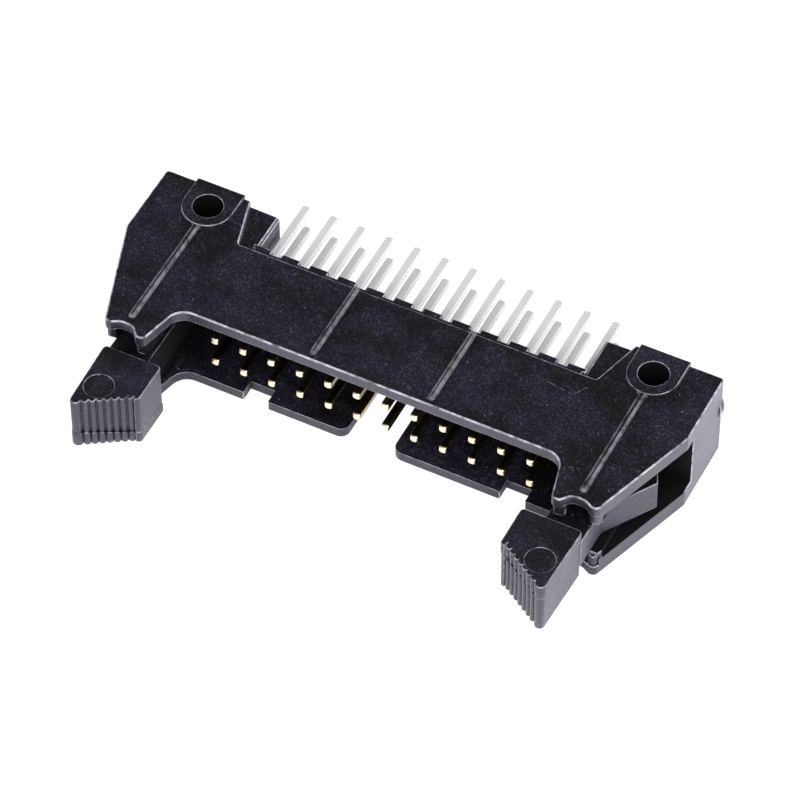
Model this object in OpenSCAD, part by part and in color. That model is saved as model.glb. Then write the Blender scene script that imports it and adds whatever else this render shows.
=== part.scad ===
// Two-row box header with hinged latch levers, lying on one broad side.
// X runs along the rows, Y from the mating side to the solder tails, Z through the thickness.
// Inside the modules y = 0 is the contact tips and z = 0 lies midway between the two rows.

/* [Contacts] */
// Distance from contact to contact, along a row and from row to row
pitch = 2.54; // [2.40:0.02:2.70]
// Side of the square contact wire
pin_w = 0.64; // [0.50:0.02:0.76]
// Length of the tapered point at each end of a contact
pin_point = 0.16; // [0.10:0.02:0.60]
// Width left at the very tip of a contact
pin_tip_w = 0.40; // [0.20:0.02:0.50]
// Length of contact that stands in the cavity
pin_reach = 6.12; // [5.00:0.05:6.30]
// Length of solder tail behind the seating face
tail_len = 3.70; // [2.50:0.10:6.00]

/* [Cavity] */
// Depth of the cavity from its mouth to the floor
cavity_depth = 6.40; // [6.00:0.05:8.00]
// Height of the cavity through the thickness
cavity_h = 6.20; // [5.80:0.05:6.60]
// From the centre of the last contact to the end of the cavity
cavity_end = 3.78; // [3.50:0.02:4.20]
// Thickness of the two broad walls
wall = 1.05; // [0.80:0.05:1.40]
// Thickness of the cavity floor that carries the contacts
web = 2.18; // [1.60:0.02:3.00]
// Step from a broad wall down to the edge of the floor behind it
web_drop = 0.16; // [0.08:0.02:0.40]
// How far the floor's edge shows behind the broad walls
web_strip = 0.35; // [0.15:0.05:0.80]

/* [Standoff ribs] */
// Width of the upright rib behind each column of contacts
standoff_w = 1.66; // [1.20:0.02:2.00]
// How far an upright rib stands behind the floor
standoff_h = 0.40; // [0.20:0.05:0.80]

/* [Key slot and notches] */
// Width of the polarising slot in the lower wall
key_w = 4.14; // [3.60:0.05:4.60]
// Radius of the slot's two front corners
key_r = 0.80; // [0.30:0.05:1.00]
// Width of the two small notches in the front edge of the lower wall
notch_w = 2.20; // [1.60:0.05:2.60]
// Depth of the small notches
notch_depth = 1.28; // [0.60:0.02:2.00]
// Columns from the middle to the left notch
notch_left = 4; // [3:1:5]
// Columns from the middle to the right notch
notch_right = 5; // [3:1:5]

/* [End towers] */
// From the centre of the last contact to the middle of a tower
tower_gap = 5.85; // [5.80:0.01:6.40]
// From the middle of a tower to its outer side
tower_out = 5.06; // [4.90:0.02:5.60]
// From the middle of a tower to the inner face of its foot
foot_in = 5.27; // [5.10:0.01:5.40]
// Height of a tower's foot on each side of the middle plane
foot_z = 3.38; // [3.20:0.02:3.60]
// Chamfer along the inner edges of a foot
foot_chamfer = 0.20; // [0.05:0.05:0.50]
// From the cavity floor back to the seating face
seat_back = 6.43; // [6.00:0.05:8.00]
// Length of straight side in front of the seating face
side_len = 6.85; // [6.00:0.05:7.40]
// From the middle of a tower to the back corner of its broad wall
skin_back_in = 2.62; // [2.30:0.02:3.00]
// From the middle of a tower to the foot of the slanted wall edge
skin_root_in = 3.92; // [3.60:0.02:4.30]

/* [Horns] */
// How far the horns stand in front of the cavity mouth
horn_len = 4.07; // [3.60:0.02:4.30]
// How far the outer lobe stays behind the inner lobe
lobe_step = 0.45; // [0.20:0.05:0.80]
// From the middle of a tower to the corner at the cavity mouth
mouth_in = 2.99; // [2.80:0.01:3.30]
// From the middle of a tower to the inner corner of a horn
lobe_in = 1.95; // [1.80:0.01:2.05]
// From the middle of a tower to the outer corner of a horn
lobe_out = 1.79; // [1.60:0.01:1.90]
// Radius of the concave corner at the cavity mouth
mouth_r = 1.50; // [0.80:0.05:1.80]
// Radius of the horn corners
lobe_r = 0.45; // [0.20:0.05:0.55]
// Radius of a tower's back corner
side_r = 0.30; // [0.10:0.05:0.60]
// Depth of the round bite in a horn's front edge
scallop = 0.85; // [0.50:0.05:1.40]
// Width of the bite at its mouth
bite_w = 2.50; // [2.30:0.02:2.60]
// Width of the bite at its bottom
bite_top = 1.10; // [0.95:0.05:1.30]
// Radius of the bite's bottom corners
bite_r = 0.90; // [0.40:0.05:0.95]
// Radius of the lips beside the bite
lip_r = 0.30; // [0.10:0.05:0.40]
// Half of the space between the upper and lower land of a tower
slot_z = 1.80; // [1.72:0.02:2.00]
// How far the lands stay inside the outline of the broad walls
land_inset = 0.12; // [0.02:0.02:0.20]
// Chamfer on the front edge of each land, where the lever goes in
lead_in = 0.30; // [0.10:0.05:0.60]
// From the middle of a tower to the outer edge of its lands
land_out = 1.93; // [1.92:0.01:2.20]
// Height of the side window above the middle plane
window_up = 2.70; // [2.50:0.02:3.00]
// Height of the side window below the middle plane
window_down = 2.40; // [2.20:0.02:2.80]
// From the cavity floor back to the rear wall of the side window
window_back = 0.78; // [0.60:0.02:1.20]
// How far the gate mark stands out from a tower's outer side
gate_out = 0.18; // [0.05:0.01:0.30]
// Width of the gate mark across the tower's side
gate_w = 0.70; // [0.40:0.05:1.20]
// Height of the gate mark above the middle plane
gate_z = 0.80; // [0.00:0.05:1.40]
// Radius of the gate mark's curved face
gate_r = 2.40; // [1.20:0.05:2.40]

/* [Lever pivots] */
// From the contact tips back to the lever pivot
pivot_y = 4.20; // [4.10:0.02:4.40]
// Radius of a lever's trunnions
trunnion_r = 0.90; // [0.80:0.02:0.96]
// Running clearance round a trunnion
pivot_gap = 0.05; // [0.02:0.01:0.09]
// Clearance over the end of a trunnion
pivot_end_gap = 0.10; // [0.05:0.01:0.20]
// Width of the groove that a trunnion slides in along
groove_w = 1.90; // [1.80:0.02:2.10]
// How much deeper the groove is than the cavity
groove_cut = 0.10; // [0.02:0.02:0.30]
// Radius of the corners where the groove ends at the neck
groove_r = 0.20; // [0.05:0.05:0.30]
// Width of the neck that a trunnion snaps past
neck_w = 1.50; // [1.30:0.02:1.58]
// Length of the neck in front of the socket
neck_len = 1.60; // [1.20:0.05:2.40]

/* [Mounting holes] */
// Diameter of the mounting holes
hole_d = 2.50; // [2.00:0.05:3.00]
// From the seating face to the centre of a hole
hole_back = 2.40; // [2.20:0.02:2.80]
// Wall of the raised boss round a hole
boss_wall = 0.92; // [0.60:0.01:1.10]
// Height of the bosses above the broad walls
boss_h = 0.45; // [0.35:0.01:0.80]

/* [Raised ribs] */
// Width of the raised ribs on the broad walls
rib_w = 0.62; // [0.40:0.02:0.90]
// Height of the raised ribs
rib_h = 0.28; // [0.10:0.02:0.34]
// From the middle of the header to each middle rib
mid_rib_x = 5.20; // [4.00:0.05:8.00]
// How far a middle rib stays behind the mouth edge
mid_rib_gap = 0.38; // [0.20:0.05:1.00]
// How far an end rib stays behind the bottom of the bite
end_rib_gap = 0.62; // [0.35:0.05:1.50]

/* [Latch levers] */
// Half of the arm's thickness
arm_z = 1.50; // [1.20:0.02:1.58]
// From the pivot line to the inner side of the arm
arm_in = 2.32; // [2.00:0.02:2.40]
// From the pivot line to the outer side of the arm
arm_out = 1.23; // [1.10:0.01:1.40]
// Length of straight outer side behind the grip
arm_straight = 3.40; // [2.60:0.05:4.00]
// From the pivot line out to the corner of the heel
heel_out = 4.02; // [3.60:0.02:4.30]
// From the pivot forward to the corner of the heel
heel_front = 1.62; // [1.20:0.02:2.00]
// Radius of the heel's corner
heel_r = 0.12; // [0.04:0.02:0.20]
// From the pivot line out to the upper bend in the back of the heel
upper_bend_out = 3.54; // [3.20:0.02:3.58]
// From the pivot forward to the upper bend
upper_bend_front = 0.65; // [0.40:0.05:0.90]
// From the pivot line out to the lower bend in the back of the heel
lower_bend_out = 2.10; // [1.80:0.05:2.40]
// From the pivot back to the lower bend
lower_bend_back = 1.35; // [1.10:0.05:1.50]
// Radius of the bends in the back of the heel
bend_r = 0.60; // [0.20:0.05:0.80]
// From the pivot line out to where the heel meets the back of the foot
heel_root_out = 1.12; // [0.80:0.02:1.40]
// Radius where the arm's outer side turns out to the heel
flare_r = 1.20; // [0.40:0.05:1.60]
// From the pivot line in to the tip of the ejector foot
foot_reach = 4.72; // [4.40:0.02:4.80]
// Thickness of the ejector foot at its tip
foot_t = 1.10; // [0.80:0.05:1.40]
// How much thicker the ejector foot is where it leaves the arm
foot_taper = 0.90; // [0.40:0.05:1.20]
// Radius of the corner between the foot and the arm
foot_root_r = 0.80; // [0.30:0.05:1.00]
// Radius of the foot's two corners at its tip
foot_r = 0.30; // [0.10:0.05:0.35]
// Clearance between the ejector foot and the cavity floor
foot_gap = 0.12; // [0.08:0.01:0.30]
// Radius of the shoulder round each trunnion
hub_r = 1.60; // [1.30:0.05:1.75]
// Clearance between a shoulder and the land beside it
hub_gap = 0.08; // [0.04:0.01:0.20]

/* [Latch grips] */
// Height of the grip above the middle plane
grip_up = 2.52; // [2.00:0.02:2.90]
// Height of the grip below the middle plane
grip_down = 2.68; // [2.00:0.02:2.90]
// Gap between a horn's tip and the back of the grip
grip_gap = 0.75; // [0.45:0.05:1.50]
// From the pivot line to the outer side of the grip at its back
grip_out = 1.20; // [1.15:0.01:1.40]
// From the pivot line to the inner side of the grip
grip_in = 4.04; // [3.40:0.02:4.40]
// Length of the grip's inner side
grip_short = 3.96; // [3.80:0.02:4.40]
// Radius of the grip's plain corners
grip_r = 0.35; // [0.15:0.05:0.50]
// From the back of the grip forward to the centre of its round front corner
post_front = 6.02; // [5.90:0.02:6.40]
// From the pivot line out to the centre of the round front corner
post_out = 0.48; // [0.30:0.02:0.60]
// Radius of the round front corner
post_r = 0.48; // [0.44:0.02:0.56]
// Height of the parting line above the middle plane at the front of the grip
part_z = 1.00; // [0.60:0.05:1.40]
// How far the parting line climbs towards the back of the grip
part_rise = 0.75; // [0.00:0.05:0.90]
// Step back of the grip's sides below the parting line
part_step = 0.05; // [0.02:0.01:0.10]
// Angle between the ridged face and the rows of contacts
face_angle = 32.3; // [31.0:0.1:33.0]
// Number of finger ridges beside the round front corner
ridges = 7; // [5:1:7]
// Distance from ridge to ridge along the face
ridge_pitch = 0.594; // [0.560:0.002:0.600]
// Radius of a finger ridge
ridge_r = 0.32; // [0.31:0.01:0.36]
// Distance from the centre of the front corner to the first ridge, along the face
ridge_first = 0.72; // [0.66:0.02:0.76]
// How far the middles of the ridges lie in front of the middle of the front corner
ridge_ahead = 0.14; // [0.08:0.01:0.18]
// From the pivot line in to where the plain strip ends beside the ridges
strip_in = 3.58; // [3.54:0.01:3.70]
// How much further forward the plain strip reaches beside the ridges
strip_slant = 0.05; // [0.00:0.01:0.10]
// Radius of the round mark on each broad face of the grip
mark_r = 1.22; // [0.80:0.02:1.50]
// Depth of the round mark
mark_depth = 0.05; // [0.02:0.01:0.20]
// From the pivot line in to the centre of the round mark
mark_in = 0.53; // [0.30:0.01:1.20]
// From the back of the grip forward to the centre of the round mark
mark_front = 4.02; // [2.50:0.02:4.20]

/* [Hidden] */
// The latch grid has twelve columns in two rows
columns = 12;
rows = 2;
eps = 0.01;
arc_step = 15;
mid_z = cavity_h / 2;
skin_z = mid_z + wall;
boss_z = skin_z + boss_h;
floor_y = pin_reach;
mouth_y = floor_y - cavity_depth;
web_y = floor_y + web;
skin_y = web_y - web_strip;
seat_y = floor_y + seat_back;
tail_y = seat_y + tail_len;
window_y = floor_y + window_back;
last_x = (columns - 1) / 2 * pitch;
cavity_x = last_x + cavity_end;
tower_x = last_x + tower_gap;
side_x = tower_x + tower_out;
foot_x = tower_x - foot_in;
land_x = tower_x + land_out;
horn_y = mouth_y - horn_len;
lobe_y = horn_y + lobe_step;
bite_y = horn_y + scallop;
hole_y = seat_y - hole_back;
boss_r = hole_d / 2 + boss_wall;
socket_r = trunnion_r + pivot_gap;
socket_z = mid_z + groove_cut;
grip_back_y = horn_y - grip_gap;
face_dir = [-cos(face_angle), sin(face_angle)];
face_in = [face_dir[1], -face_dir[0]];
post = [tower_x + post_out, grip_back_y - post_front];
ridge_line = post - face_in * ridge_ahead;
ridge_base = sqrt(max(0, pow(ridge_r, 2) - pow(ridge_pitch / 2, 2)));
front_y = post[1] - post_r;
mid_y = (tail_y + front_y) / 2;

// Unit vector along v
function unit(v) = v / norm(v);

// Node name of contact i, counted from 1
function pin_name(i) = str("pin_", i < 10 ? "0" : "", i);

// Points of the arc of radius r that rounds the corner at c between p and n
function corner_arc(p, c, n, r) =
    let (
        u = unit(p - c),
        v = unit(n - c),
        half = acos(u * v) / 2,
        centre = c + unit(u + v) * r / sin(half),
        from = c + u * r / tan(half) - centre,
        turn = sign(u[1] * v[0] - u[0] * v[1]) * (180 - 2 * half),
        steps = max(2, ceil(abs(turn) / arc_step))
    )
    [for (k = [0 : steps]) centre + spin(from, turn * k / steps)];

// Vector v turned by angle a
function spin(v, a) = [v[0] * cos(a) - v[1] * sin(a), v[0] * sin(a) + v[1] * cos(a)];

// Outline through points [x, y, r], each corner rounded with its own radius r
function rounded(pts) =
    let (n = len(pts))
    [
        for (i = [0 : n - 1])
            let (
                a = pts[(i + n - 1) % n],
                b = pts[i],
                c = pts[(i + 1) % n]
            )
            each b[2] > 0
                ? corner_arc([a[0], a[1]], [b[0], b[1]], [c[0], c[1]], b[2])
                : [[b[0], b[1]]]
    ];

// Moves the finished piece so that the origin is the centre of its base
module placed() {
    translate([0, -mid_y, boss_z]) children();
}

// The same thing on both ends
module both_ends() {
    children();
    mirror([1, 0, 0]) children();
}

// The same thing above and below the middle plane
module both_faces() {
    children();
    mirror([0, 0, 1]) children();
}

// Right half of the broad wall's outline, with its horn drawn in by inset
module half_skin(inset = 0) {
    polygon(rounded([
        [-eps, mouth_y + inset, 0],
        [tower_x - mouth_in + inset, mouth_y + inset, mouth_r],
        [tower_x - lobe_in + inset, horn_y + inset, lobe_r - inset],
        [tower_x - bite_w / 2 - inset, horn_y + inset, lip_r / 2],
        [tower_x - bite_top / 2 - inset, bite_y + inset, bite_r],
        [tower_x + bite_top / 2 + inset, bite_y + inset, bite_r],
        [tower_x + bite_w / 2 + inset, lobe_y + inset, lip_r / 2],
        [tower_x + lobe_out - inset, lobe_y + inset, lobe_r - inset],
        [side_x, seat_y - side_len, lobe_r],
        [side_x, seat_y, side_r],
        [tower_x - skin_back_in, seat_y, lip_r / 2],
        [tower_x - skin_root_in, skin_y, lip_r],
        [-eps, skin_y, 0]
    ]));
}

// Broad wall, drawn at the upper side
module skin() {
    translate([0, 0, mid_z]) linear_extrude(wall) both_ends() half_skin();
}

// Solid foot of a tower, behind the cavity floor and the side window
module foot() {
    difference() {
        translate([0, 0, -foot_z]) linear_extrude(2 * foot_z) difference() {
            union() {
                intersection() {
                    half_skin();
                    translate([foot_x, floor_y]) square([side_x, seat_y - floor_y]);
                }
                translate([foot_x, floor_y]) square([tower_x - foot_x, seat_y - floor_y]);
            }
            translate([cavity_x, floor_y - 1]) square([side_x, 1 + window_back]);
        }
        both_faces() translate([foot_x, web_y, foot_z]) rotate([0, 45, 0])
            cube([foot_chamfer * sqrt(2), 2 * seat_back + eps, foot_chamfer * sqrt(2)], center = true);
    }
}

// Low lump where the gate was broken off, at the back edge of a tower's outer side
module gate_mark() {
    translate([side_x + gate_out - gate_r, seat_y, gate_z]) rotate([90, 0, 0])
        cylinder(r = gate_r, h = gate_w, $fn = 96);
}

// Upper land of a tower, between the cavity's end and the side window
module land() {
    translate([0, 0, slot_z]) linear_extrude(mid_z + eps - slot_z) intersection() {
        half_skin(land_inset);
        translate([cavity_x, horn_y]) square([land_x - cavity_x, window_y + eps - horn_y]);
    }
}

// Chamfer of the land's front edge from x0 to x1, where the front is at y
module land_chamfer(x0, x1, y) {
    translate([x0, y, slot_z]) rotate([90, 0, 90]) linear_extrude(x1 - x0) polygon([
        [-1, -1],
        [lead_in + 1, -1],
        [-1, lead_in + 1]
    ]);
}

// Way in for a trunnion: the groove, the neck and the round socket
module trunnion_groove() {
    depth = socket_z - slot_z + eps;
    translate([0, 0, slot_z - eps]) {
        translate([tower_x, pivot_y, 0]) cylinder(r = socket_r, h = depth, $fn = 64);
        translate([tower_x - neck_w / 2, pivot_y - socket_r - neck_len, 0])
            cube([neck_w, socket_r + neck_len, depth]);
        linear_extrude(depth) polygon(rounded([
            [tower_x - groove_w / 2, horn_y - 1, 0],
            [tower_x + groove_w / 2, horn_y - 1, 0],
            [tower_x + groove_w / 2, pivot_y - socket_r - neck_len, groove_r],
            [tower_x - groove_w / 2, pivot_y - socket_r - neck_len, groove_r]
        ]));
    }
}

// Outer part of a tower's wall beside the side window, from height z to the outer face
module window_plate(z) {
    translate([0, 0, z]) linear_extrude(skin_z - z) intersection() {
        half_skin();
        translate([land_x - eps, horn_y]) square([side_x, window_y + eps - horn_y]);
    }
}

// Raised U round a mounting hole, open to the seating face
module boss() {
    translate([tower_x, hole_y, skin_z - eps]) {
        cylinder(r = boss_r, h = boss_h + eps, $fn = 96);
        translate([-boss_r, 0, 0]) cube([2 * boss_r, hole_back, boss_h + eps]);
    }
}

// Raised rib from y0 to y1 with a round front end
module rib(x, y0, y1) {
    translate([x, y0 + rib_w / 2, skin_z - eps]) {
        cylinder(d = rib_w, h = rib_h + eps, $fn = 32);
        translate([-rib_w / 2, 0, 0]) cube([rib_w, y1 - y0 - rib_w / 2, rib_h + eps]);
    }
}

// Floor of the cavity and the upright ribs behind it
module contact_floor() {
    h = 2 * (skin_z - web_drop);
    translate([-foot_x - eps, floor_y, -h / 2]) cube([2 * (foot_x + eps), web, h]);
    for (i = [0 : columns - 1])
        translate([column_x(i) - standoff_w / 2, web_y - eps, -h / 2])
            cube([standoff_w, standoff_h + eps, h]);
}

// Centre of column i, counted from 0 at the left
function column_x(i) = i * pitch - last_x;

// Slot and notches in the lower wall
module lower_cuts() {
    translate([0, 0, -skin_z - eps]) linear_extrude(wall + 2 * eps) {
        polygon(rounded([
            [-key_w / 2 - key_r - eps, mouth_y - 1, 0],
            [key_w / 2 + key_r + eps, mouth_y - 1, 0],
            [key_w / 2 + key_r + eps, mouth_y, 0],
            [key_w / 2, mouth_y, key_r],
            [key_w / 2, floor_y, 0],
            [-key_w / 2, floor_y, 0],
            [-key_w / 2, mouth_y, key_r],
            [-key_w / 2 - key_r - eps, mouth_y, 0]
        ]));
        for (x = [-notch_left * pitch, notch_right * pitch])
            translate([x - notch_w / 2, mouth_y - 1]) square([notch_w, notch_depth + 1]);
    }
}

// Square holes of the contacts through the cavity floor
module pin_holes() {
    for (i = [0 : columns - 1], z = [-pitch / 2, pitch / 2])
        translate([column_x(i) - pin_w / 2, floor_y - 1, z - pin_w / 2])
            cube([pin_w, web + standoff_h + 2, pin_w]);
}

// The whole moulded housing
module housing() {
    color([0.09, 0.09, 0.10]) placed() difference() {
        union() {
            both_faces() {
                skin();
                both_ends() land();
                both_ends() boss();
                both_ends() rib(tower_x, bite_y + end_rib_gap, hole_y);
                both_ends() rib(mid_rib_x, mouth_y + mid_rib_gap, skin_y);
            }
            both_ends() window_plate(window_up);
            mirror([0, 0, 1]) both_ends() window_plate(window_down);
            both_ends() foot();
            both_ends() gate_mark();
            contact_floor();
        }
        both_faces() both_ends() {
            trunnion_groove();
            land_chamfer(cavity_x - 1, tower_x, horn_y + land_inset);
            land_chamfer(tower_x - eps, land_x, lobe_y + land_inset);
        }
        both_ends() translate([tower_x, hole_y, -boss_z - 1]) cylinder(d = hole_d, h = 2 * boss_z + 2, $fn = 64);
        lower_cuts();
        pin_holes();
    }
}

// Side view of a contact, as wide as w, pointed at both ends
module pin_profile() {
    polygon([
        [0, -pin_tip_w / 2],
        [pin_point, -pin_w / 2],
        [tail_y - pin_point, -pin_w / 2],
        [tail_y, -pin_tip_w / 2],
        [tail_y, pin_tip_w / 2],
        [tail_y - pin_point, pin_w / 2],
        [pin_point, pin_w / 2],
        [0, pin_tip_w / 2]
    ]);
}

// Contact i, counted from 1: odd ones lie in the upper row, even ones in the lower row
module pin(i) {
    x = column_x(floor((i - 1) / rows));
    z = (i % rows == 1 ? 0.5 : -0.5) * pitch;
    color([0.83, 0.69, 0.35]) placed() translate([x, 0, z]) intersection() {
        rotate([0, 0, 90]) linear_extrude(pin_w, center = true) pin_profile();
        rotate([90, 0, 90]) linear_extrude(pin_w, center = true) pin_profile();
    }
}

// Plan of a lever's arm, heel and ejector foot, right-hand end
module arm_plan() {
    back_y = floor_y - foot_gap;
    flare_y = grip_back_y + arm_straight;
    polygon(rounded([
        [tower_x - arm_in, grip_back_y - grip_r, 0],
        [tower_x + arm_out, grip_back_y - grip_r, 0],
        [tower_x + arm_out, flare_y, flare_r],
        [tower_x + heel_out, pivot_y - heel_front, heel_r],
        [tower_x + upper_bend_out, pivot_y - upper_bend_front, bend_r],
        [tower_x + lower_bend_out, pivot_y + lower_bend_back, bend_r],
        [tower_x + heel_root_out, back_y, foot_r],
        [tower_x - foot_reach, back_y, foot_r],
        [tower_x - foot_reach, back_y - foot_t, foot_r],
        [tower_x - arm_in, back_y - foot_t - foot_taper, foot_root_r]
    ]));
}

// Plan of the grip with its finger ridges, right-hand end, with its sides stepped back by inset
module grip_plan(inset) {
    strip_y = grip_back_y - grip_short + inset;
    root = ridge_line - face_in * (ridge_base - inset);
    valley = root + face_dir * (ridge_first + (ridges - 0.5) * ridge_pitch);
    polygon(rounded([
        [tower_x + grip_out - inset, grip_back_y - inset, grip_r],
        [tower_x - grip_in + inset, grip_back_y - inset, grip_r],
        [tower_x - grip_in + inset, strip_y, grip_r],
        [tower_x - strip_in, strip_y - strip_slant, 0],
        [valley[0], valley[1], 0],
        [root[0], root[1], 0],
        [post[0], post[1], 0],
        [post[0] + post_r - inset, post[1], 0]
    ]));
    translate(post) circle(r = post_r - inset, $fn = 48);
    for (k = [0 : ridges - 1])
        translate(ridge_line + face_dir * (ridge_first + ridge_pitch * k))
            circle(r = ridge_r - inset, $fn = 32);
}

// Side view of the space above the parting line, right-hand grip
module above_parting() {
    rotate([90, 0, 90]) linear_extrude(side_x) polygon([
        [front_y - 1, part_z],
        [front_y, part_z],
        [grip_back_y, part_z + part_rise],
        [grip_back_y + 1, part_z + part_rise],
        [grip_back_y + 1, boss_z],
        [front_y - 1, boss_z]
    ]);
}

// Right-hand grip: full size above the parting line, stepped back below it
module grip() {
    translate([0, 0, -grip_down]) linear_extrude(grip_up + grip_down)
        grip_plan(part_step);
    intersection() {
        translate([0, 0, -grip_down]) linear_extrude(grip_up + grip_down) grip_plan(0);
        above_parting();
    }
}

// Right-hand latch lever with its trunnions and shoulders
module latch() {
    difference() {
        union() {
            translate([0, 0, -arm_z]) linear_extrude(2 * arm_z) arm_plan();
            grip();
            translate([tower_x, pivot_y, 0]) {
                cylinder(r = hub_r, h = 2 * (slot_z - hub_gap), center = true, $fn = 64);
                cylinder(r = trunnion_r, h = 2 * (socket_z - pivot_end_gap), center = true, $fn = 64);
            }
        }
        translate([tower_x - mark_in, grip_back_y - mark_front, 0]) {
            translate([0, 0, grip_up - mark_depth]) cylinder(r = mark_r, h = 1, $fn = 64);
            translate([0, 0, mark_depth - grip_down - 1]) cylinder(r = mark_r, h = 1, $fn = 64);
        }
    }
}

// The right lever, as modelled
module latch_right() {
    color([0.10, 0.10, 0.11]) placed() latch();
}

// The left lever is the same moulding turned over
module latch_left() {
    color([0.10, 0.10, 0.11]) placed() rotate([0, 180, 0]) latch();
}

housing();
latch_left();
latch_right();
for (i = [1 : columns * rows])
    pin(i);
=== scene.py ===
# %% [markdown]
# # A shrouded board header with two latch levers
#
# The header is the fixed half of a flat-cable plug pair. A black moulded box holds two rows of
# square contacts, and a lever at each end locks over the plug and pushes it out again.
# This lesson dresses the measured model: the shapes come from the frame, and Blender adds
# softened edges, moulded grain, plated metal, studio light and the camera of the photograph.

# %% Load the measured frame
import math

import bmesh
import bpy
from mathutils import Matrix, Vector


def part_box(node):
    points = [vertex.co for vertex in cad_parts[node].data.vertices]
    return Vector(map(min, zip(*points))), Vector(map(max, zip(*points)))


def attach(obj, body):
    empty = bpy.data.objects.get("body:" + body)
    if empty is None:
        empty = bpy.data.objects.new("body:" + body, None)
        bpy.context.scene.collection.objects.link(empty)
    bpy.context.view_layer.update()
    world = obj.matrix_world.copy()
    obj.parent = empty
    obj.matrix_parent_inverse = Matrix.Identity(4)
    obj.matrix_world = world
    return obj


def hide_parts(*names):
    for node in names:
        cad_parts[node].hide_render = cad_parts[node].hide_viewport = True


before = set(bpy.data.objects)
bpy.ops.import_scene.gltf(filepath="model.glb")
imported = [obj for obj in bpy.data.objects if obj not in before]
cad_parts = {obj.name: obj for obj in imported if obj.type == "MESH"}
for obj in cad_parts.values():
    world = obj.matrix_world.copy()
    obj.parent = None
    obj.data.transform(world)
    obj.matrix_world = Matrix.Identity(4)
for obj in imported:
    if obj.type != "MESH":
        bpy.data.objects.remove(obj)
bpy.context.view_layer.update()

MM = 0.001

# %% [markdown]
# ## Camera
#
# The photograph was taken from far away with a long lens, so the header looks almost
# parallel-sided. A camera can be placed by eye, but the contacts stand on a known 2.54 mm grid.
# So the lens and the place below come from fitting a pinhole camera to their 48 ends.

# %% Place the camera
LENS_MM = 223.16
SENSOR_MM = 36.0
CLIP_RANGE = (0.01, 20.0)
CAMERA_PLACE = Vector((116.33, -226.446, 304.69)) * MM
CAMERA_TURN_DEG = (40.2264, 0.0901, 26.7848)

camera_data = bpy.data.cameras.new("camera")
camera_data.lens = LENS_MM
camera_data.sensor_width = SENSOR_MM
camera_data.clip_start, camera_data.clip_end = CLIP_RANGE
camera = bpy.data.objects.new("camera", camera_data)
camera.location = CAMERA_PLACE
camera.rotation_euler = [math.radians(a) for a in CAMERA_TURN_DEG]
scene = bpy.context.scene
scene.collection.objects.link(camera)
scene.camera = camera
scene.view_settings.view_transform = "Standard"
print("camera", round(CAMERA_PLACE.length / MM), "mm from the origin")


# %% [markdown]
# ## Helpers for shader and geometry trees
#
# Every tree below is a list of nodes and links. A few small helpers keep the cells readable, so
# that a line says what a node does rather than how it is wired.

# %% Helpers that add and join nodes
def add(tree, kind, values=None, **settings):
    """Adds a node, sets its own settings and its unlinked input values."""
    made = tree.nodes.new(kind)
    for key, value in settings.items():
        setattr(made, key, value)
    for key, value in (values or {}).items():
        made.inputs[key].default_value = value
    return made


def join(tree, source, target):
    """Links an output socket to an input socket."""
    tree.links.new(source, target)


def feed(tree, node, inputs, plain):
    """Gives each of a node's inputs a value, where it is of a plain kind, or a link."""
    for index, value in enumerate(inputs):
        if value is None:
            continue
        if isinstance(value, plain):
            node.inputs[index].default_value = value
        else:
            join(tree, value, node.inputs[index])


def math_node(tree, operation, a, b=None, clamp=False):
    """A Math node whose inputs are sockets or plain numbers. Returns its output."""
    made = add(tree, "ShaderNodeMath", operation=operation, use_clamp=clamp)
    feed(tree, made, (a, b), (int, float))
    return made.outputs[0]


def product(tree, a, b):
    """The product of two sockets or plain numbers."""
    return math_node(tree, "MULTIPLY", a, b)


def vector_math(tree, operation, a, b=None):
    """A Vector Math node whose inputs are sockets or plain vectors. Returns the node."""
    made = add(tree, "ShaderNodeVectorMath", operation=operation)
    feed(tree, made, (a, b), (tuple, list))
    return made


# %% [markdown]
# These stand for wirings that come back in most trees: the place on the object, the parts of a
# vector, a noise with lumps of a known size, and a window that stretches a range of values.

# %% Helpers for common wirings
def object_place(tree):
    """The place on the object, which stays put on a piece from every side."""
    return add(tree, "ShaderNodeTexCoord").outputs["Object"]


def split(tree, vector):
    """The X, Y and Z outputs of a vector."""
    made = add(tree, "ShaderNodeSeparateXYZ")
    join(tree, vector, made.inputs[0])
    return made.outputs


def noise(tree, where, size, detail=3.0, roughness=0.6):
    """A noise whose lumps have a size in metres. The size is a socket or a number."""
    made = add(tree, "ShaderNodeTexNoise", {"Detail": detail, "Roughness": roughness})
    join(tree, where, made.inputs["Vector"])
    join(tree, math_node(tree, "DIVIDE", 1.0, size), made.inputs["Scale"])
    return made.outputs["Fac"]


def window(tree, value, low, high, start=0.0, end=1.0):
    """A Map Range node that takes low..high to start..end. Returns its output."""
    values = {"From Min": low, "From Max": high, "To Min": start, "To Max": end}
    made = add(tree, "ShaderNodeMapRange", values)
    join(tree, value, made.inputs["Value"])
    return made.outputs["Result"]


# %% [markdown]
# An effect that more than one material uses becomes a node group, built once. This helper opens
# one and names its sockets.

# %% Helper that opens a group
def new_group(name, kind, inputs, outputs):
    """A node group with named sockets. Returns the group, its input node and its output node."""
    group = bpy.data.node_groups.new(name, kind)
    for socket_name, socket_type, value in inputs:
        socket = group.interface.new_socket(socket_name, in_out="INPUT", socket_type=socket_type)
        if value is not None:
            socket.default_value = value
    for socket_name, socket_type in outputs:
        group.interface.new_socket(socket_name, in_out="OUTPUT", socket_type=socket_type)
    return group, group.nodes.new("NodeGroupInput"), group.nodes.new("NodeGroupOutput")


FLOAT = "NodeSocketFloat"
VECTOR = "NodeSocketVector"

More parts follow.
